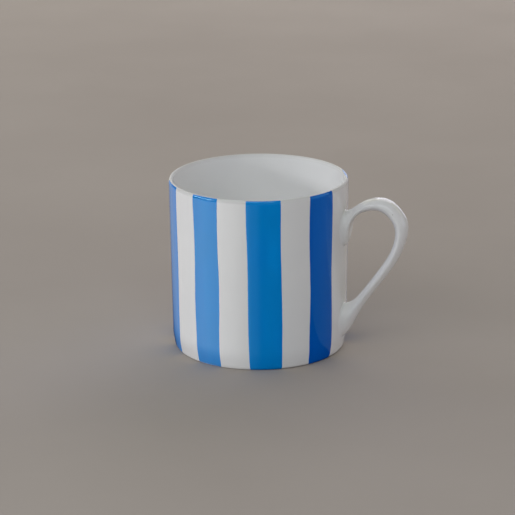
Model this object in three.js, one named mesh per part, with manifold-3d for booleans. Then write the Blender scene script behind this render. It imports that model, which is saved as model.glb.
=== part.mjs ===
// A small fine-china mug, in millimetres with +Z up, resting on its foot ring at z = 0.
// The cup is one casting and the ear-shaped handle is a second, luted on with slip at both ends.
// Nine upright stripes of blue enamel are painted round the outside, from the lip to the base edge.
// Angles round the cup are measured in degrees from the handle, counter-clockwise seen from above.

import * as THREE from 'three';
import { mergeVertices } from 'three/addons/utils/BufferGeometryUtils.js';
import Module from 'manifold-3d';

const wasm = await Module();
wasm.setup();

const degrees = THREE.MathUtils.degToRad;
const point = (x, y) => new THREE.Vector2(x, y);

// Cup: outside
const cupHeight = 80;
const rimRadius = 41;
const lipRound = 0.85; // half the wall's thickness at the lip
const lipShoulder = 2; // height over which the lip is rounded, as half an ellipse
const waistRadius = 40.3; // where the wall turns in towards the base
const waistHeight = 6.7;
const waistBlend = 2.5; // length on each side over which that turn is rounded
const bevelLean = degrees(9.5); // lean of the band between the waist and the base edge
const baseRound = 1.6;

// Cup: foot ring and inside
const footWidth = 3.2;
const footRecess = 1.5; // depth of the underside within the foot ring
const recessSlope = 1.4; // radial run of the foot ring's inner side
const floorHeight = 5;
const floorDish = 0.4; // how much lower the middle of the floor is
const innerWallFoot = 37.9; // inside radius of the wall where the floor's corner starts
const innerCorner = 9;

// Handle: two rails in the plane y = 0, as radius and height, run from the upper root to the lower root
const outerRail = new THREE.SplineCurve([
  point(38.5, 66.8),
  point(42.6, 67.4),
  point(46.3, 69.7),
  point(50.6, 72.4),
  point(56.7, 73.95),
  point(62.6, 72.7),
  point(67.5, 68.15),
  point(70.3, 60.2),
  point(66.0, 46.1),
  point(57.3, 32.95),
  point(48.75, 20.4),
  point(43.4, 10.4),
  point(38.5, 5.4),
]);
const innerRail = new THREE.SplineCurve([
  point(38.5, 49.9),
  point(42.6, 52.2),
  point(43.6, 59.2),
  point(47.6, 65.7),
  point(54.6, 68.3),
  point(59.9, 66.9),
  point(63.35, 63.1),
  point(64.5, 57.5),
  point(61.8, 48.1),
  point(53.7, 35.6),
  point(46.0, 25.6),
  point(41.7, 22.9),
  point(38.5, 21.8),
]);
const strapHalfWidth = 4.8;
const rootSpread = 1.7; // extra half width where the strap runs into each root
const handleSides = 18;
const handleSteps = 40;

// Clearances between separate pieces, and the slip between handle and wall
const jointGap = 0.3;
const slipThickness = 0.6;
const slipSpread = 0.7; // how far the squeezed-out slip stands proud of the handle's root
const upperRoot = [47, 71]; // heights between which the handle meets the wall
const lowerRoot = [2, 26];

// Enamel stripes: left and right edges wander gently, as a loaded brush does
const stripeGap = 0.2;
const stripeThickness = 0.3;
const stripeBaseFrom = degrees(-45); // where a stripe ends, round the base edge
const stripeLipTo = degrees(36); // where it starts, round the lip
const stripeColumns = 4;
const waverLength = 52; // height of one wander of an edge
const waverShift = 2.1; // how far the right edge's wander is ahead of the left edge's, in radians
const stripes = [
  { centre: -29.1, width: 20.2, lean: -0.5, waver: 0.4, phase: 3.6 },
  { centre: -69.6, width: 21.9, lean: -1.2, waver: 0.2, phase: 2.2 },
  { centre: -109.0, width: 19.0, lean: -0.4, waver: 0.3, phase: 1.2 },
  { centre: -148.0, width: 20.4, lean: 0.1, waver: 0.3, phase: 0.4 },
  { centre: 24.6, width: 20.4, lean: -1.4, waver: 0.3, phase: 1.4 },
  { centre: 62.1, width: 19.4, lean: -0.6, waver: 0.3, phase: 5.1 },
  { centre: 99.6, width: 20.8, lean: 0.7, waver: 0.2, phase: 0.9 },
  { centre: 137.2, width: 19.8, lean: 0.3, waver: 0.4, phase: 4.2 },
  { centre: 174.7, width: 20.1, lean: -0.7, waver: 0.3, phase: 1.7 },
];

const cupSides = 64;

// --- The outside of the wall ---

// Every curve of the outside in order, from the base edge up and over the lip, with the number of
// straight steps that it is drawn with. The base edge starts and the lip ends at the given angles.
function outsideCurves(baseFrom, lipTo) {
  const upBevel = point(Math.sin(bevelLean), Math.cos(bevelLean));
  const outBevel = point(Math.cos(bevelLean), -Math.sin(bevelLean));
  const waist = point(waistRadius, waistHeight);
  const wallTop = point(rimRadius, cupHeight - lipShoulder);
  const upWall = wallTop.clone().sub(waist).normalize();

  const baseCentreRadius =
    (waist.dot(outBevel) - baseRound + baseRound * Math.sin(bevelLean)) / Math.cos(bevelLean);
  const bevelStart = point(baseCentreRadius, baseRound).addScaledVector(outBevel, baseRound);
  const bevelEnd = waist.clone().addScaledVector(upBevel, -waistBlend);
  const wallStart = waist.clone().addScaledVector(upWall, waistBlend);

  return [
    [new THREE.EllipseCurve(baseCentreRadius, baseRound, baseRound, baseRound, baseFrom, -bevelLean), 3],
    [new THREE.LineCurve(bevelStart, bevelEnd), 1],
    [new THREE.QuadraticBezierCurve(bevelEnd, waist, wallStart), 4],
    [new THREE.LineCurve(wallStart, wallTop), 7],
    [new THREE.EllipseCurve(rimRadius - lipRound, wallTop.y, lipRound, lipShoulder, 0, lipTo), 6],
  ];
}

// Points along the outside, each moved out from the surface by the given offset.
function outsidePoints(baseFrom, lipTo, offset) {
  const points = [];
  outsideCurves(baseFrom, lipTo).forEach(([curve, steps], index) => {
    for (let step = index === 0 ? 0 : 1; step <= steps; step++) {
      const tangent = curve.getTangent(step / steps);
      const outward = point(tangent.y, -tangent.x);
      points.push(curve.getPoint(step / steps).addScaledVector(outward, offset));
    }
  });
  return points;
}

// --- Solids and booleans ---

function lathe(profile) {
  return new THREE.LatheGeometry(profile, cupSides).rotateX(Math.PI / 2);
}

function toSolid(geometry) {
  const bare = geometry.clone();
  bare.deleteAttribute('normal');
  bare.deleteAttribute('uv');
  const merged = mergeVertices(bare, 1e-4);
  return new wasm.Manifold(
    new wasm.Mesh({
      numProp: 3,
      vertProperties: new Float32Array(merged.attributes.position.array),
      triVerts: new Uint32Array(merged.index.array),
    })
  );
}

function toGeometry(solid) {
  const mesh = solid.getMesh();
  const geometry = new THREE.BufferGeometry();
  geometry.setAttribute('position', new THREE.BufferAttribute(mesh.vertProperties, 3));
  geometry.setIndex(new THREE.BufferAttribute(mesh.triVerts, 1));
  geometry.computeVertexNormals();
  return geometry;
}

// Moves every vertex of a geometry to the place that a function gives for it.
function mapVertices(geometry, place) {
  const position = geometry.attributes.position;
  const vertex = new THREE.Vector3();
  for (let i = 0; i < position.count; i++) {
    vertex.fromBufferAttribute(position, i);
    const target = place(vertex);
    position.setXYZ(i, target.x, target.y, target.z);
  }
  geometry.computeVertexNormals();
  return geometry;
}

// --- Sub-parts ---

function cupBodyGeometry() {
  const outside = outsidePoints(degrees(-90), degrees(180), 0);
  const footOuter = outside[0].x;
  const footInner = footOuter - footWidth;

  const inside = new THREE.Path();
  inside.moveTo(rimRadius - 2 * lipRound, cupHeight - lipShoulder);
  inside.lineTo(innerWallFoot, floorHeight + innerCorner);
  inside.quadraticCurveTo(innerWallFoot, floorHeight, innerWallFoot - innerCorner, floorHeight);
  inside.lineTo(0, floorHeight - floorDish);

  return lathe([
    point(0, footRecess),
    point(footInner - recessSlope, footRecess),
    point(footInner, 0),
    ...outside,
    ...inside.getPoints(6).slice(1),
  ]);
}

// The strap between its two rails: an oval section whose height follows the rails.
function strapGeometry(grow) {
  const tube = new THREE.CylinderGeometry(1, 1, 1, handleSides, handleSteps);
  return mapVertices(tube, (vertex) => {
    const along = vertex.y + 0.5;
    const outer = outerRail.getPoint(along);
    const inner = innerRail.getPoint(along);
    const middle = outer.clone().add(inner).multiplyScalar(0.5);
    const halfHeight = outer.clone().sub(inner).multiplyScalar(0.5);
    halfHeight.setLength(halfHeight.length() + grow);
    const halfWidth = strapHalfWidth + rootSpread * (2 * along - 1) ** 6 + grow;
    return new THREE.Vector3(
      middle.x + vertex.x * halfHeight.x,
      vertex.z * halfWidth,
      middle.y + vertex.x * halfHeight.y
    );
  });
}

// Everything within the outside of the wall, grown by an offset, as a cutter.
function wallSolid(offset) {
  const outside = outsidePoints(degrees(-90), degrees(90), offset);
  return toSolid(lathe([point(0, outside[0].y), ...outside, point(0, outside.at(-1).y)]));
}

function handleGeometry() {
  const clearance = jointGap + slipThickness + jointGap;
  return toGeometry(toSolid(strapGeometry(0)).subtract(wallSolid(clearance)));
}

// The slip that fixes one end of the handle: a thin pad along the wall, wider than the handle's root.
function slipGeometry([bottom, top]) {
  const slabSize = 4 * rimRadius;
  const slab = new THREE.BoxGeometry(slabSize, slabSize, top - bottom);
  slab.translate(0, 0, (top + bottom) / 2);
  const layer = wallSolid(jointGap + slipThickness).subtract(wallSolid(jointGap));
  return toGeometry(toSolid(strapGeometry(slipSpread)).intersect(layer).intersect(toSolid(slab)));
}

// One stripe: a thin shell over the outside, between two wandering edges.
function stripeGeometry({ centre, width, lean, waver, phase }) {
  const near = outsidePoints(stripeBaseFrom, stripeLipTo, stripeGap);
  const far = outsidePoints(stripeBaseFrom, stripeLipTo, stripeGap + stripeThickness);
  const rows = near.length - 1;
  const shell = new THREE.BoxGeometry(1, 1, 1, stripeColumns, rows, 1);
  return mapVertices(shell, (vertex) => {
    const row = Math.round((vertex.y + 0.5) * rows);
    const { x: radius, y: height } = (vertex.z > 0 ? far : near)[row];
    const wander = (2 * Math.PI * near[row].y) / waverLength + phase + (vertex.x + 0.5) * waverShift;
    const angle = degrees(
      centre + width * vertex.x + lean * (near[row].y / cupHeight - 0.5) + waver * Math.sin(wander)
    );
    return new THREE.Vector3(radius * Math.cos(angle), radius * Math.sin(angle), height);
  });
}

// --- Materials ---

function china() {
  return new THREE.MeshStandardMaterial({ color: 0xdfe0e1, roughness: 0.12, metalness: 0 });
}

function slip() {
  return new THREE.MeshStandardMaterial({ color: 0xd3d5d6, roughness: 0.2, metalness: 0 });
}

function blueEnamel() {
  return new THREE.MeshStandardMaterial({ color: 0x1a6cb4, roughness: 0.15, metalness: 0 });
}

// --- The mug ---

function named(name, geometry, material) {
  const mesh = new THREE.Mesh(geometry, material);
  mesh.name = name;
  return mesh;
}

const mug = new THREE.Group();
mug.add(named('cup_body', cupBodyGeometry(), china()));
mug.add(named('handle', handleGeometry(), china()));
mug.add(named('upper_slip_joint', slipGeometry(upperRoot), slip()));
mug.add(named('lower_slip_joint', slipGeometry(lowerRoot), slip()));
stripes.forEach((stripe, index) => {
  mug.add(named(`blue_stripe_${index + 1}`, stripeGeometry(stripe), blueEnamel()));
});

// The origin is the middle of the whole mug's footprint, handle included, on the surface it stands on.
mug.position.x = -new THREE.Box3().setFromObject(mug).getCenter(new THREE.Vector3()).x;

export default mug;
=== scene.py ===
# A small fine-china mug with nine upright stripes of blue enamel, on a pale table in soft window light.
# The mug is glazed fine china: a straight cup on an unglazed foot ring, and an ear-shaped handle luted on
# with slip. Lengths are in millimetres, and become metres where a mesh or an object is made.

import math

import bpy
import numpy as np
from mathutils import Matrix, Vector, noise

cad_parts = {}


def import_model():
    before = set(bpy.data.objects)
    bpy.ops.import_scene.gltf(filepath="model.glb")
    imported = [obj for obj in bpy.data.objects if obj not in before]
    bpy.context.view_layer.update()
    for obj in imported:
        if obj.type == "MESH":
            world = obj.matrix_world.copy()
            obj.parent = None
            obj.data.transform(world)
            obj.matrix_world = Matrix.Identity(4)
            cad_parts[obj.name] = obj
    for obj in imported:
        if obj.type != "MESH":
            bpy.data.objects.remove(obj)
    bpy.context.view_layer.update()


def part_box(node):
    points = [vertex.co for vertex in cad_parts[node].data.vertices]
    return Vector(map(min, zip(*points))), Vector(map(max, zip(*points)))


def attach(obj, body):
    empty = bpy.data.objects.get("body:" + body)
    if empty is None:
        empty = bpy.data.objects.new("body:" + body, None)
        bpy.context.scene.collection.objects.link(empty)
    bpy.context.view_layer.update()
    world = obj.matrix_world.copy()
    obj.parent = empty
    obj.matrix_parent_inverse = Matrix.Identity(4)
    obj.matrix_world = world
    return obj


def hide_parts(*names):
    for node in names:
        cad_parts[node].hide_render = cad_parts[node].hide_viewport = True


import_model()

MM = 0.001
ROOT = "root"

# Cup, outside
CUP_HEIGHT = 80.0
RIM_RADIUS = 41.0
LIP_ROUND = 0.85         # half the wall's thickness at the lip
LIP_SHOULDER = 2.0       # height over which the lip is rounded, as half an ellipse
LIP_FULL_DEPTH = 0.2           # depth below the top of the lip where its painted shade and extra roughness are full
LIP_DRYNESS = 0.30       # how much rougher the thin glaze is
WAIST_RADIUS = 40.3      # where the wall turns in towards the base
WAIST_HEIGHT = 6.7
WAIST_BLEND = 2.5        # length on each side over which that turn is rounded
BEVEL_LEAN = math.radians(9.5)
BASE_ROUND = 1.6

# Cup, foot ring and inside
FOOT_WIDTH = 3.2
FOOT_RECESS = 1.5
RECESS_SLOPE = 1.4
FOOT_EDGE = 0.35         # rounding of the foot ring's inner edge
FLOOR_HEIGHT = 5.0
FLOOR_DISH = 0.4         # how much lower the middle of the floor is
MIDDLE_DISC = 0.4        # radius of the flat disc in the middle of the floor and of the recess
INNER_WALL_FOOT = 37.9
INNER_CORNER = 9.0

# Handle: two rails in the plane through the cup's axis, as radius and height, from the upper root down
OUTER_RAIL = [
    (38.5, 66.8), (42.6, 67.4), (46.3, 69.7), (50.6, 72.4), (56.7, 73.95), (62.6, 72.7), (67.5, 68.15),
    (70.3, 60.2), (66.0, 46.1), (57.3, 32.95), (48.75, 20.4), (43.4, 10.4), (38.5, 5.4),
]
INNER_RAIL = [
    (38.5, 49.9), (42.6, 52.2), (43.6, 59.2), (47.6, 65.7), (54.6, 68.3), (59.9, 66.9), (63.35, 63.1),
    (64.5, 57.5), (61.8, 48.1), (53.7, 35.6), (46.0, 25.6), (41.7, 22.9), (38.5, 21.8),
]
STRAP_HALF_WIDTH = 4.8
ROOT_SPREAD = 1.7
FILLET_SIDES = 1.9       # reach of the slip fillet along the handle and the wall, beside the handle
FILLET_ENDS = 0.6        # and above and below it
FILLET_SINK = 0.04       # how far the fillet's border on the wall lies under the glaze
COLLAR_DEPTH = 0.5       # how far the fillet's hidden back lies towards the cup's axis
COLLAR_DRAW_IN = 0.075   # share by which that back is drawn in towards its own middle
STRAP_ENDS = (0.008, 0.992)  # where along its rails the strap starts and stops, inside the wall

# Stripes: the angles are in degrees from the handle, counter-clockwise seen from above
STRIPE_BASE_FROM = math.radians(-70)
STRIPE_CORNER = 0.7      # rounding of a stripe's four corners
ENAMEL_THICKNESS = 0.05
ENAMEL_EDGE = 0.4        # width over which the enamel thins out to nothing
ENAMEL_SINK = 0.025      # how far its border lies under the glaze
RAGGED = (0.10, 7.0)     # depth and length of an edge's slow unevenness
RAGGED_FINE = (0.035, 1.6)  # and of its fine unevenness
BLUE = (0.0, 0.272, 0.815)
RED_KEPT = 0.72          # share of red that a coat's reflections keep
RED_LOSS_RATE = 8        # how much faster that share falls in a coat thicker than 1
GLAZE_IOR = 1.5
WAVER_LENGTH = 52.0
WAVER_SHIFT = 2.1
STRIPES = [              # centre, width, lean, waver, phase, coat, how far round the lip it ends
    (-29.1, 20.2, -0.5, 0.4, 3.6, 1.42, 70),
    (-69.6, 21.9, -1.2, 0.2, 2.2, 0.95, 72),
    (-109.0, 19.0, -0.4, 0.3, 1.2, 0.98, 72),
    (-148.0, 20.4, 0.1, 0.3, 0.4, 1.04, 66),
    (24.6, 20.4, -1.4, 0.3, 1.4, 1.15, 90),
    (62.1, 19.4, -0.6, 0.3, 5.1, 1.02, 76),
    (99.6, 20.8, 0.7, 0.2, 0.9, 1.10, 71),
    (137.2, 19.8, 0.3, 0.4, 4.2, 0.97, 65),
    (174.7, 20.1, -0.7, 0.3, 1.7, 1.06, 48),
]

# Camera
CAMERA_BEARING = -73.0   # degrees from the handle, seen from above
CAMERA_ELEVATION = 17.69
CAMERA_DISTANCE = 1025.0
CAMERA_ROLL = 0.48
CAMERA_LENS = 155.0
CAMERA_AIM = (-0.75, 1.04)  # rightwards and upwards from the middle of the cup

# Soft light: panels in a ring round the mug, as bearing from the camera to the right, elevation and radiance
PANEL_DISTANCE = 1.8
PANEL_SIZE = (1.2, 0.9)
PANELS = [
    (-160, 12, (0.66, 0.70, 0.63)),
    (80, 12, (1.01, 0.99, 1.20)),
    (160, 12, (1.28, 1.30, 1.50)),
    (-160, 35, (0.50, 0.44, 0.24)),
    (-120, 35, (1.18, 1.20, 1.24)),
    (-40, 35, (1.56, 1.57, 1.66)),
    (0, 35, (1.66, 1.84, 1.84)),
    (120, 35, (0.40, 0.32, 0.06)),
    (160, 35, (1.70, 1.62, 1.72)),
]
# The window itself, low on the left and brighter than the rest
WINDOW_SIZE = (0.95, 0.16)
WINDOW = (-74, 12, (12.8, 12.9, 13.3))
ROOM_COLOUR = (1.0, 0.965, 0.93)
ROOM_LIGHT = 0.15
WALL_BRIGHTNESS = 0.37
TABLE_RADIUS = 1600.0
# The window's sheen on the table, as bearing from the camera and radiance
SHEEN_PEAK = 2.4
SHEEN_CLEAR = 62.0       # distance from the cup's axis at which it is out of the cup's shade
SHEEN_SHADED = 1 / 3     # share of it that is left at the foot of the wall
SHEEN_RADII = (38.0, 60.0, 120.0, 300.0, 900.0)
SHEEN_BEARINGS = (-179, 60)
SHEEN_HEIGHT = 0.05
SHEEN = [
    (-180, 0.16), (-165, 0.38), (-150, 0.70), (-130, 1.08), (-110, 1.35), (-92, 1.95),
    (-78, 2.35), (-55, 2.30), (-38, 1.80), (-20, 1.05), (-8, 0.30), (5, 0.03),
]


# --- The cup's outside ---

def arc(centre, radius, start, end, steps, rise=None):
    """An arc of a circle, or of an ellipse that is as high as rise."""
    angles = np.linspace(start, end, steps + 1)
    return np.column_stack([
        centre[0] + radius * np.cos(angles), centre[1] + (rise or radius) * np.sin(angles)
    ])


def line(start, end, steps):
    share = np.linspace(0, 1, steps + 1)[:, None]
    return np.array(start) * (1 - share) + np.array(end) * share


def bend(start, corner, end, steps):
    """A quadratic curve that leaves start towards the corner and reaches end from it."""
    share = np.linspace(0, 1, steps + 1)[:, None]
    start, corner, end = (np.array(p) for p in (start, corner, end))
    return start * (1 - share) ** 2 + 2 * corner * share * (1 - share) + end * share**2


def joined(*stretches):
    return np.vstack([stretches[0]] + [stretch[1:] for stretch in stretches[1:]])


def outside(base_from, lip_to):
    """The outside of the cup from the base edge up and over the lip, as radius and height."""
    up_bevel = np.array([math.sin(BEVEL_LEAN), math.cos(BEVEL_LEAN)])
    out_bevel = np.array([math.cos(BEVEL_LEAN), -math.sin(BEVEL_LEAN)])
    waist = np.array([WAIST_RADIUS, WAIST_HEIGHT])
    wall_top = np.array([RIM_RADIUS, CUP_HEIGHT - LIP_SHOULDER])
    up_wall = (wall_top - waist) / np.linalg.norm(wall_top - waist)
    base_centre_radius = (
        waist @ out_bevel - BASE_ROUND + BASE_ROUND * math.sin(BEVEL_LEAN)
    ) / math.cos(BEVEL_LEAN)
    base_centre = np.array([base_centre_radius, BASE_ROUND])
    bevel_start = base_centre + BASE_ROUND * out_bevel
    bevel_end = waist - WAIST_BLEND * up_bevel
    wall_start = waist + WAIST_BLEND * up_wall
    lip_centre = (RIM_RADIUS - LIP_ROUND, wall_top[1])
    return joined(
        arc(base_centre, BASE_ROUND, base_from, -BEVEL_LEAN, 8),
        line(bevel_start, bevel_end, 3),
        bend(bevel_end, waist, wall_start, 8),
        line(wall_start, wall_top, 40),
        arc(lip_centre, LIP_ROUND, 0, lip_to, 18, LIP_SHOULDER),
    )


WALL = outside(math.radians(-90), math.radians(90))


def wall_radius(height):
    return np.interp(height, WALL[:, 1], WALL[:, 0])


def arc_lengths(points):
    return np.concatenate([[0], np.cumsum(np.linalg.norm(np.diff(points, axis=0), axis=1))])


# --- Meshes ---

cup_low, cup_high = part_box("cup_body")
AXIS_X = (cup_low.x + cup_high.x) / 2 / MM


def around(radius, angle, height):
    """Points round the cup's axis, from radii, angles in radians and heights that broadcast together."""
    radius, angle, height = np.broadcast_arrays(radius, angle, height)
    return np.stack([AXIS_X + radius * np.cos(angle), radius * np.sin(angle), height], axis=-1)


def add_mesh(name, points, faces, materials, sharp_from=30):
    mesh = bpy.data.meshes.new(name)
    mesh.from_pydata((np.asarray(points).reshape(-1, 3) * MM).tolist(), [], faces)
    mesh.polygons.foreach_set("use_smooth", [True] * len(mesh.polygons))
    mesh.set_sharp_from_angle(angle=math.radians(sharp_from))
    for material in materials:
        mesh.materials.append(material)
    mesh.update()
    mesh.validate()
    piece = bpy.data.objects.new(name, mesh)
    bpy.context.scene.collection.objects.link(piece)
    return piece


def grid_faces(rows, columns, closed_columns=False):
    """Quads over points laid out row by row. The last column joins the first one if closed_columns."""
    faces = []
    for row in range(rows - 1):
        for column in range(columns if closed_columns else columns - 1):
            following = (column + 1) % columns
            low = row * columns
            high = low + columns
            faces.append((low + column, low + following, high + following, high + column))
    return faces


def cup():
    ring = outside(math.radians(-90), math.pi)
    foot_outer = ring[0][0]
    foot_inner = foot_outer - FOOT_WIDTH
    slope = np.array([-RECESS_SLOPE, FOOT_RECESS])
    slope_end = np.array([foot_inner, 0]) + slope
    edge_on_slope = np.array([foot_inner, 0]) + FOOT_EDGE * slope / np.linalg.norm(slope)
    recess = line((MIDDLE_DISC, FOOT_RECESS), slope_end - (FOOT_EDGE, 0), 12)
    foot = joined(
        bend(slope_end - (FOOT_EDGE, 0), slope_end, slope_end - FOOT_EDGE * slope / np.linalg.norm(slope), 3),
        line(slope_end - FOOT_EDGE * slope / np.linalg.norm(slope), edge_on_slope, 3),
        bend(edge_on_slope, (foot_inner, 0), (foot_inner + FOOT_EDGE, 0), 4),
        line((foot_inner + FOOT_EDGE, 0), ring[0], 4),
    )
    corner = (INNER_WALL_FOOT, FLOOR_HEIGHT)
    corner_start = (INNER_WALL_FOOT, FLOOR_HEIGHT + INNER_CORNER)
    corner_end = (INNER_WALL_FOOT - INNER_CORNER, FLOOR_HEIGHT)
    inside = joined(
        line(ring[-1], corner_start, 30),
        bend(corner_start, corner, corner_end, 14),
        line(corner_end, (MIDDLE_DISC, FLOOR_HEIGHT - FLOOR_DISH), 12),
    )
    profile = joined(recess, foot, ring, inside)
    sides = 192
    angles = np.linspace(0, 2 * math.pi, sides, endpoint=False)
    points = around(profile[:, :1], angles[None, :], profile[:, 1:])
    rows = len(profile)
    faces = grid_faces(rows, sides, closed_columns=True)
    faces.append(tuple(reversed(range(sides))))
    faces.append(tuple(range((rows - 1) * sides, rows * sides)))
    piece = add_mesh("china_cup", points, faces, [glazed_china(), bare_china()])
    first_bare, past_ring = 5, 1  # rows of the foot before the bare ring, and of the base edge within it
    bare_from = len(recess) + first_bare
    bare_to = len(recess) + len(foot) + past_ring
    for face in piece.data.polygons:
        row = face.index // sides
        if bare_from <= row < bare_to:
            face.material_index = 1
    return piece


# --- Handle ---

class Spline:
    """A smooth curve through points at even steps of 0 to 1, with continuous curvature."""

    def __init__(self, stations):
        self.stations = np.array(stations, float)
        count = len(self.stations)
        system = np.eye(count)
        right = np.zeros_like(self.stations)
        for i in range(1, count - 1):
            system[i, i - 1:i + 2] = (1, 4, 1)
            right[i] = 6 * (self.stations[i - 1] - 2 * self.stations[i] + self.stations[i + 1])
        self.curving = np.linalg.solve(system, right)

    def __call__(self, along):
        place = np.clip(np.asarray(along, float), 0, 1) * (len(self.stations) - 1)
        index = np.minimum(place.astype(int), len(self.stations) - 2)
        after = (place - index)[..., None]
        before = 1 - after
        return (
            self.stations[index] * before + self.stations[index + 1] * after
            + ((before**3 - before) * self.curving[index] + (after**3 - after) * self.curving[index + 1]) / 6
        )


outer_rail = Spline(OUTER_RAIL)
inner_rail = Spline(INNER_RAIL)


def strap_points(along, turn):
    """Points on the handle's surface: along from 0 to 1 between its roots, turn round its oval section."""
    along, turn = np.broadcast_arrays(np.asarray(along, float), np.asarray(turn, float))
    outer = outer_rail(along)
    inner = inner_rail(along)
    middle = (outer + inner) / 2
    half = (outer - inner) / 2
    half_width = STRAP_HALF_WIDTH + ROOT_SPREAD * (2 * along - 1) ** 6
    up = np.cos(turn)
    return np.stack([
        AXIS_X + middle[..., 0] + half[..., 0] * up,
        np.sin(turn) * half_width,
        middle[..., 1] + half[..., 1] * up,
    ], axis=-1)


def off_wall(points):
    """How far points lie out from the cup's wall."""
    radius = np.hypot(points[..., 0] - AXIS_X, points[..., 1])
    return radius - wall_radius(points[..., 2])


def handle():
    sides, steps = 56, 220
    turns = np.linspace(0, 2 * math.pi, sides, endpoint=False)
    along = np.linspace(*STRAP_ENDS, steps)
    points = strap_points(along[:, None], turns[None, :])
    faces = grid_faces(steps, sides, closed_columns=True)
    faces.append(tuple(reversed(range(sides))))
    faces.append(tuple(range((steps - 1) * sides, steps * sides)))
    return add_mesh("china_handle", points, faces, [glazed_china()], sharp_from=60)


def where_off_wall(turns, distance, root):
    """For each turn, how far along the handle its surface comes within a distance of the wall."""
    inside, clear = (0.0, 0.2) if root == "upper" else (1.0, 0.8)
    low = np.full(len(turns), inside)
    high = np.full(len(turns), clear)
    for _ in range(40):
        middle = (low + high) / 2
        near = off_wall(strap_points(middle, turns)) < distance
        low = np.where(near, middle, low)
        high = np.where(near, high, middle)
    return (low + high) / 2


def slip_collar(name, root):
    """The fillet of slip round one root of the handle, faired into the handle and the wall."""
    sides, steps = 96, 9
    turns = np.linspace(0, 2 * math.pi, sides, endpoint=False)
    fillet = FILLET_ENDS + (FILLET_SIDES - FILLET_ENDS) * np.sin(turns) ** 2
    on_handle = strap_points(where_off_wall(turns, fillet, root), turns)
    crossing = strap_points(where_off_wall(turns, 0.0, root), turns)
    bearing = np.arctan2(crossing[:, 1], crossing[:, 0] - AXIS_X)
    height = crossing[:, 2]
    flat = np.column_stack([bearing * wall_radius(height), height])
    ahead = np.roll(flat, -1, axis=0) - np.roll(flat, 1, axis=0)
    outward = np.column_stack([ahead[:, 1], -ahead[:, 0]])
    outward /= np.linalg.norm(outward, axis=1)[:, None]
    if np.sum(outward * (flat - flat.mean(axis=0))) < 0:
        outward = -outward
    reach = flat + fillet[:, None] * outward
    on_wall_radius = wall_radius(reach[:, 1]) - FILLET_SINK
    on_wall = around(on_wall_radius, reach[:, 0] / wall_radius(reach[:, 1]), reach[:, 1])
    buried = crossing.copy()
    buried[:, 0] -= COLLAR_DEPTH
    buried[:, 1:] += COLLAR_DRAW_IN * (crossing.mean(axis=0)[1:] - crossing[:, 1:])
    rings = []
    for step in range(steps + 1):
        share = step / steps
        rings.append(on_handle * (1 - share) ** 2 + 2 * crossing * share * (1 - share) + on_wall * share**2)
    rings.append(buried)
    points = np.array(rings)
    rows = len(rings)
    faces = grid_faces(rows, sides, closed_columns=True)
    for column in range(sides):
        following = (column + 1) % sides
        last = (rows - 1) * sides
        faces.append((last + column, last + following, following, column))
    if root == "upper":
        faces = [tuple(reversed(face)) for face in faces]
    return add_mesh(name, points, faces, [slip_glaze()], sharp_from=60)


# --- Stripes ---

def spread(length, edge, step):
    """Distances over a length, close together near both ends and even between."""
    fine = np.array([0, 0.25, 0.5, 0.75, 1.0, 1.5]) * edge
    count = max(2, round((length - 2 * fine[-1]) / step))
    middle = np.linspace(fine[-1], length - fine[-1], count + 1)
    return np.concatenate([fine[:-1], middle, length - fine[-2::-1]])


def stripe(index, centre, width, lean, waver, phase, coat, lip_to):
    curve = outside(STRIPE_BASE_FROM, math.radians(lip_to))
    lengths = arc_lengths(curve)
    total = lengths[-1]
    rows_at = spread(total, ENAMEL_EDGE, 0.8)
    columns_at = spread(1.0, ENAMEL_EDGE / 14, 0.045)
    rows, columns = len(rows_at), len(columns_at)
    radius = np.interp(rows_at, lengths, curve[:, 0])
    height = np.interp(rows_at, lengths, curve[:, 1])
    ahead = np.gradient(np.column_stack([radius, height]), axis=0)
    ahead /= np.linalg.norm(ahead, axis=1)[:, None]
    outward = np.column_stack([ahead[:, 1], -ahead[:, 0]])

    from_end = np.minimum(rows_at, total - rows_at)
    short = np.clip(STRIPE_CORNER - from_end, 0, None)
    inset = STRIPE_CORNER - np.sqrt(STRIPE_CORNER**2 - short**2)
    edges = []
    for side, sign in ((-0.5, -1), (0.5, 1)):
        wander = 2 * math.pi * height / WAVER_LENGTH + phase + (side + 0.5) * WAVER_SHIFT
        angle = centre + width * side + lean * (height / CUP_HEIGHT - 0.5) + waver * np.sin(wander)
        ragged = np.array([
            RAGGED[0] * noise.noise((z / RAGGED[1], index * 3.7, side * 9.0))
            + RAGGED_FINE[0] * noise.noise((z / RAGGED_FINE[1], index * 5.3, side * 9.0 + 4.0))
            for z in height
        ])
        edges.append(np.radians(angle) * radius + ragged - sign * inset)
    left, right = edges
    share = columns_at[None, :]
    flat = left[:, None] * (1 - share) + right[:, None] * share
    from_side = np.minimum(share, 1 - share) * (right - left)[:, None]
    from_edge = np.minimum(from_side, from_end[:, None])
    rise = np.clip(from_edge / ENAMEL_EDGE, 0, 1)
    proud = ENAMEL_THICKNESS * rise * (2 - rise) - ENAMEL_SINK * (1 - rise)
    top_radius = radius[:, None] + outward[:, :1] * proud
    top_height = height[:, None] + outward[:, 1:] * proud
    points = around(top_radius, flat / radius[:, None], top_height)
    faces = grid_faces(rows, columns)
    low_end = tuple(reversed(range(columns)))
    high_end = tuple(range((rows - 1) * columns, rows * columns))
    faces += [low_end, high_end]
    for row in range(rows - 1):
        near, far = row * columns, (row + 1) * columns
        faces.append((near, far, far + columns - 1, near + columns - 1))
    return add_mesh(f"enamel_stripe_{index}", points, faces, [blue_enamel(index, coat)], sharp_from=40)


# --- Materials ---

def new_material(name):
    material = bpy.data.materials.new(name)
    material.use_nodes = True
    return material, material.node_tree, material.node_tree.nodes["Principled BSDF"]


def object_coordinates(tree):
    return tree.nodes.new("ShaderNodeTexCoord").outputs["Object"]


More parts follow.
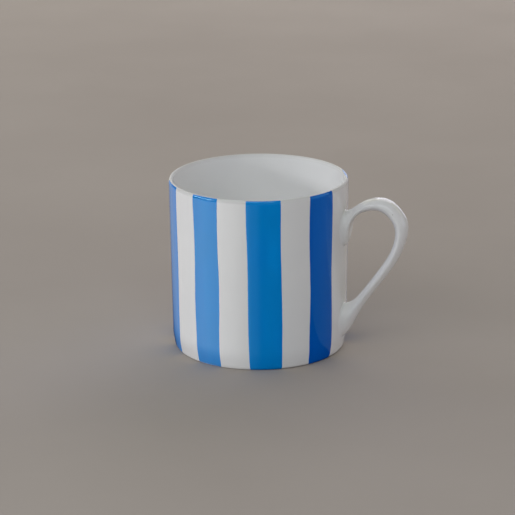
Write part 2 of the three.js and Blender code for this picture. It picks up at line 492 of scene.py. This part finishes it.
def noise_value(tree, scale, detail=3.0, stretch=(1, 1, 1), shift=(0, 0, 0)):
    mapping = tree.nodes.new("ShaderNodeMapping")
    mapping.inputs["Scale"].default_value = stretch
    mapping.inputs["Location"].default_value = shift
    texture = tree.nodes.new("ShaderNodeTexNoise")
    texture.inputs["Scale"].default_value = scale
    texture.inputs["Detail"].default_value = detail
    tree.links.new(object_coordinates(tree), mapping.inputs["Vector"])
    tree.links.new(mapping.outputs["Vector"], texture.inputs["Vector"])
    return texture.outputs["Fac"]


def remapped(tree, value, from_low, from_high, to_low, to_high, smooth=False):
    node = tree.nodes.new("ShaderNodeMapRange")
    if smooth:
        node.interpolation_type = "SMOOTHSTEP"
    tree.links.new(value, node.inputs["Value"])
    numbers = (from_low, from_high, to_low, to_high)
    for socket, number in zip(("From Min", "From Max", "To Min", "To Max"), numbers):
        node.inputs[socket].default_value = number
    return node.outputs["Result"]


def calculated(tree, operation, *operands):
    node = tree.nodes.new("ShaderNodeMath")
    node.operation = operation
    for socket, operand in zip(node.inputs, operands):
        if isinstance(operand, (int, float)):
            socket.default_value = operand
        else:
            tree.links.new(operand, socket)
    return node.outputs["Value"]


def mixed(tree, factor, first, second):
    node = tree.nodes.new("ShaderNodeMix")
    node.data_type = "RGBA"
    tree.links.new(factor, node.inputs["Factor"])
    for socket, colour in ((node.inputs["A"], first), (node.inputs["B"], second)):
        if isinstance(colour, tuple):
            socket.default_value = (*colour, 1)
        else:
            tree.links.new(colour, socket)
    return node.outputs["Result"]


def bumped(tree, shader, *layers):
    """Bumps laid over each other. A layer is a height from 0 to 1 and the depth in mm that it stands for."""
    normal = None
    for height, depth in layers:
        node = tree.nodes.new("ShaderNodeBump")
        node.inputs["Strength"].default_value = 1.0
        node.inputs["Distance"].default_value = depth * MM
        tree.links.new(height, node.inputs["Height"])
        if normal is not None:
            tree.links.new(normal, node.inputs["Normal"])
        normal = node.outputs["Normal"]
    tree.links.new(normal, shader.inputs["Normal"])


def specks(tree, scale, size, share):
    """Where there are tiny round specks: 1 in a few cells of a Voronoi texture, 0 elsewhere."""
    cells = tree.nodes.new("ShaderNodeTexVoronoi")
    cells.inputs["Scale"].default_value = scale
    tree.links.new(object_coordinates(tree), cells.inputs["Vector"])
    dot = remapped(tree, cells.outputs["Distance"], size * 0.6, size, 1.0, 0.0, smooth=True)
    pick = tree.nodes.new("ShaderNodeSeparateColor")
    tree.links.new(cells.outputs["Color"], pick.inputs["Color"])
    chosen = remapped(tree, pick.outputs["Red"], 1 - share, 1 - share + 0.001, 0.0, 1.0)
    return calculated(tree, "MULTIPLY", dot, chosen)


def lip_shade_and_dryness(tree):
    """How far up the lip its colour is darkened as painted shade, and its glaze is made rougher."""
    split = tree.nodes.new("ShaderNodeSeparateXYZ")
    tree.links.new(object_coordinates(tree), split.inputs["Vector"])
    full = (CUP_HEIGHT - LIP_FULL_DEPTH) * MM
    none = (CUP_HEIGHT - LIP_SHOULDER) * MM
    return remapped(tree, split.outputs["Z"], none, full, 0.0, 1.0, smooth=True)


def glazed_china():
    if "glazed china" in bpy.data.materials:
        return bpy.data.materials["glazed china"]
    material, tree, shader = new_material("glazed china")
    clouds = remapped(tree, noise_value(tree, 38, 4), 0.35, 0.68, 0.0, 1.0)
    body = mixed(tree, clouds, (0.885, 0.886, 0.888), (0.865, 0.868, 0.873))
    # painted shade: the lip's colour is darkened towards its top
    body = mixed(tree, lip_shade_and_dryness(tree), body, (0.735, 0.735, 0.722))
    speck = specks(tree, 140, 0.030, 0.05)
    tree.links.new(mixed(tree, speck, body, (0.30, 0.27, 0.23)), shader.inputs["Base Color"])
    gloss = remapped(tree, noise_value(tree, 95, 3), 0.3, 0.7, 0.10, 0.17)
    dry = calculated(tree, "MULTIPLY", lip_shade_and_dryness(tree), LIP_DRYNESS)
    tree.links.new(calculated(tree, "ADD", gloss, dry), shader.inputs["Roughness"])
    shader.inputs["IOR"].default_value = GLAZE_IOR
    bumped(
        tree, shader,
        (noise_value(tree, 75, 2), 0.055),
        (noise_value(tree, 620, 2), 0.0022),
    )
    return material


def slip_glaze():
    if "slip glaze" in bpy.data.materials:
        return bpy.data.materials["slip glaze"]
    material, tree, shader = new_material("slip glaze")
    clouds = remapped(tree, noise_value(tree, 120, 4), 0.35, 0.68, 0.0, 1.0)
    # painted shade: the fillet's glaze is a little greyer than the cup's, where it lies in the crease between
    # handle and wall
    body = mixed(tree, clouds, (0.875, 0.877, 0.880), (0.850, 0.855, 0.861))
    tree.links.new(body, shader.inputs["Base Color"])
    gloss = remapped(tree, noise_value(tree, 160, 3), 0.3, 0.7, 0.12, 0.20)
    tree.links.new(gloss, shader.inputs["Roughness"])
    shader.inputs["IOR"].default_value = GLAZE_IOR
    bumped(
        tree, shader,
        (noise_value(tree, 140, 2), 0.05),
        (noise_value(tree, 620, 2), 0.0022),
    )
    return material


def bare_china():
    """The unglazed foot, where the biscuit is matt and finely grained."""
    material, tree, shader = new_material("bare china")
    grain = noise_value(tree, 1500, 5)
    body = mixed(tree, remapped(tree, grain, 0.3, 0.7, 0.0, 1.0), (0.70, 0.685, 0.65), (0.60, 0.585, 0.55))
    scuffs = remapped(tree, noise_value(tree, 60, 6), 0.52, 0.70, 0.0, 0.55)
    tree.links.new(mixed(tree, scuffs, body, (0.40, 0.38, 0.35)), shader.inputs["Base Color"])
    shader.inputs["Roughness"].default_value = 0.85
    bumped(tree, shader, (grain, 0.02))
    return material


def enamel_colour(coat, share=1.0):
    """The enamel's colour for a thickness of coat: a thick one is both darker and deeper in hue."""
    dimming = share * (1 - 0.35 * (coat - 1))
    return tuple(dimming * part**coat for part in BLUE)


def blue_enamel(index, coat):
    """Blue brushed on in upright strokes, with thicker pools and a few specks."""
    material, tree, shader = new_material(f"blue enamel {index}")
    shift = (0.013 * index, 0, 0)
    strokes = remapped(tree, noise_value(tree, 260, 3, (1, 1, 0.07), shift), 0.3, 0.7, 0.0, 1.0)
    sweeps = remapped(tree, noise_value(tree, 110, 2, (1, 1, 0.05), shift), 0.36, 0.64, 0.0, 1.0, smooth=True)
    pools = remapped(tree, noise_value(tree, 45, 3, (1, 1, 1), (0.3, 0.1, 0)), 0.35, 0.7, 0.0, 1.0)
    body = mixed(tree, strokes, enamel_colour(coat), enamel_colour(coat, 1.05))
    body = mixed(tree, sweeps, body, enamel_colour(coat + 0.09))
    body = mixed(tree, pools, body, enamel_colour(coat, 0.95))
    speck = specks(tree, 160, 0.032, 0.04)
    tree.links.new(mixed(tree, speck, body, (0.004, 0.045, 0.16)), shader.inputs["Base Color"])
    gloss = remapped(tree, noise_value(tree, 110, 3), 0.3, 0.7, 0.04, 0.09)
    tree.links.new(gloss, shader.inputs["Roughness"])
    shader.inputs["IOR"].default_value = GLAZE_IOR
    red = RED_KEPT ** (1 + RED_LOSS_RATE * max(coat - 1, 0))
    shader.inputs["Specular Tint"].default_value = (red, 1.0, 1.0, 1)
    bumped(
        tree, shader,
        (noise_value(tree, 75, 2), 0.055),
        (noise_value(tree, 300, 3, stretch=(1, 1, 0.10)), 0.004),
    )
    return material


# --- Stage ---

def toward(bearing, elevation):
    """The direction from the cup to a place round the stage, in degrees from the camera, to the right."""
    bearing = math.radians(CAMERA_BEARING + bearing)
    elevation = math.radians(elevation)
    return Vector((
        math.cos(bearing) * math.cos(elevation),
        math.sin(bearing) * math.cos(elevation),
        math.sin(elevation),
    ))


CUP_MIDDLE = Vector((AXIS_X, 0, CUP_HEIGHT / 2)) * MM


def camera():
    away = toward(0, CAMERA_ELEVATION)
    right = Vector((0, 0, 1)).cross(away).normalized()
    up = away.cross(right)
    roll = math.radians(CAMERA_ROLL)
    rolled_right = right * math.cos(roll) - up * math.sin(roll)
    rolled_up = right * math.sin(roll) + up * math.cos(roll)
    place = CUP_MIDDLE + away * CAMERA_DISTANCE * MM
    aim = CUP_MIDDLE + (rolled_right * CAMERA_AIM[0] + rolled_up * CAMERA_AIM[1]) * MM
    back = (place - aim).normalized()
    data = bpy.data.cameras.new("camera")
    data.lens = CAMERA_LENS
    data.sensor_width = 36
    data.clip_start = 0.05
    data.clip_end = 50
    made = bpy.data.objects.new("camera", data)
    side = rolled_up.cross(back).normalized()
    top = back.cross(side)
    made.matrix_world = Matrix.Translation(place) @ Matrix((side, top, back)).transposed().to_4x4()
    bpy.context.scene.collection.objects.link(made)
    bpy.context.scene.camera = made


def soft_panel(name, bearing, elevation, colour, size=PANEL_SIZE):
    """An oblong soft panel that faces the cup. Its colour is the radiance of its face."""
    brightest = max(colour)
    data = bpy.data.lights.new(name, "AREA")
    data.shape = "RECTANGLE"
    data.size, data.size_y = size
    data.energy = brightest * math.pi * size[0] * size[1]
    data.color = [part / brightest for part in colour]
    panel = bpy.data.objects.new(name, data)
    away = toward(bearing, elevation)
    panel.location = CUP_MIDDLE + away * PANEL_DISTANCE
    panel.rotation_euler = away.to_track_quat("Z", "Y").to_euler()
    panel.visible_camera = False
    bpy.context.scene.collection.objects.link(panel)


def floor():
    material, tree, shader = new_material("table")
    patches = remapped(tree, noise_value(tree, 6, 5), 0.35, 0.65, 0.0, 1.0)
    body = mixed(tree, patches, (0.475, 0.432, 0.398), (0.447, 0.404, 0.372))
    tree.links.new(body, shader.inputs["Base Color"])
    shader.inputs["Roughness"].default_value = 0.75
    shader.inputs["Specular IOR Level"].default_value = 0.0
    sides = 96
    angles = np.linspace(0, 2 * math.pi, sides, endpoint=False)
    points = around(TABLE_RADIUS, angles, 0.0)
    add_mesh("table", points, [tuple(range(sides))], [material])


def glare():
    """The sheen of the window on the table, which only the glaze's reflections see.

    Light that leaves the wall where it faces one bearing sets off at twice that bearing. A point of the table
    that is close to the wall is reached from nearer round the cup, so its own bearing lags behind.
    """
    material = bpy.data.materials.new("window sheen")
    material.use_nodes = True
    tree = material.node_tree
    tree.nodes.clear()
    split = tree.nodes.new("ShaderNodeSeparateXYZ")
    tree.links.new(object_coordinates(tree), split.inputs["Vector"])
    bearing = calculated(tree, "ARCTAN2", split.outputs["Y"], split.outputs["X"])
    distance = tree.nodes.new("ShaderNodeVectorMath")
    distance.operation = "LENGTH"
    tree.links.new(object_coordinates(tree), distance.inputs[0])
    nearness = calculated(tree, "DIVIDE", RIM_RADIUS * MM / 2, distance.outputs["Value"])
    lag = calculated(tree, "SUBTRACT", 1.0, nearness)
    leaving = calculated(tree, "DIVIDE", bearing, lag)
    share = remapped(tree, leaving, -math.pi, math.pi, 0.0, 1.0)
    ramp = tree.nodes.new("ShaderNodeValToRGB")
    ramp.color_ramp.interpolation = "EASE"
    while len(ramp.color_ramp.elements) < len(SHEEN):
        ramp.color_ramp.elements.new(0.5)
    for element, (degrees, strength) in zip(ramp.color_ramp.elements, SHEEN):
        element.position = degrees / 360 + 0.5
        level = strength / SHEEN_PEAK
        element.color = (level, level, level, 1)
    tree.links.new(share, ramp.inputs["Fac"])
    light = tree.nodes.new("ShaderNodeEmission")
    clear_of_wall = remapped(
        tree, distance.outputs["Value"],
        RIM_RADIUS * MM, SHEEN_CLEAR * MM, SHEEN_PEAK * SHEEN_SHADED, SHEEN_PEAK,
    )
    tree.links.new(clear_of_wall, light.inputs["Strength"])
    tree.links.new(ramp.outputs["Color"], light.inputs["Color"])
    output = tree.nodes.new("ShaderNodeOutputMaterial")
    tree.links.new(light.outputs["Emission"], output.inputs["Surface"])
    radii = np.array(SHEEN_RADII)
    angles = np.radians(np.linspace(*SHEEN_BEARINGS, 60))
    points = np.stack(np.broadcast_arrays(
        radii[:, None] * np.cos(angles), radii[:, None] * np.sin(angles), 0.0 * radii[:, None]
    ), axis=-1)
    sheet = add_mesh("window_sheen", points, grid_faces(len(radii), len(angles)), [material])
    sheet.location = Vector((AXIS_X, 0, SHEEN_HEIGHT)) * MM
    sheet.rotation_euler = (0, 0, math.radians(CAMERA_BEARING))
    sheet.visible_camera = False
    sheet.visible_diffuse = False
    sheet.visible_shadow = False
    sheet.visible_transmission = False


def world():
    """A dim room for the light, and a pale wall wherever the camera looks past the table."""
    made = bpy.data.worlds.new("studio")
    made.use_nodes = True
    tree = made.node_tree
    background = tree.nodes["Background"]
    background.inputs["Color"].default_value = (*ROOM_COLOUR, 1)
    path = tree.nodes.new("ShaderNodeLightPath")
    strength = remapped(tree, path.outputs["Is Camera Ray"], 0.0, 1.0, ROOM_LIGHT, WALL_BRIGHTNESS)
    tree.links.new(strength, background.inputs["Strength"])
    bpy.context.scene.world = made


def studio():
    world()
    for bearing, elevation, colour in PANELS:
        soft_panel(f"panel_{bearing}_{elevation}", bearing, elevation, colour)
    soft_panel("window", *WINDOW, WINDOW_SIZE)
    floor()
    glare()
    bpy.context.scene.view_settings.view_transform = "Standard"


# --- The mug ---

def place(piece, slot, *nodes):
    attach(piece, ROOT)
    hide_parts(*nodes)


camera()
place(cup(), "white_china", "cup_body")
place(handle(), "white_china", "handle")
place(slip_collar("upper_slip_fillet", "upper"), "glazed_slip", "upper_slip_joint")
place(slip_collar("lower_slip_fillet", "lower"), "glazed_slip", "lower_slip_joint")
for number, values in enumerate(STRIPES, start=1):
    place(stripe(number, *values), "blue_enamel", f"blue_stripe_{number}")
studio()
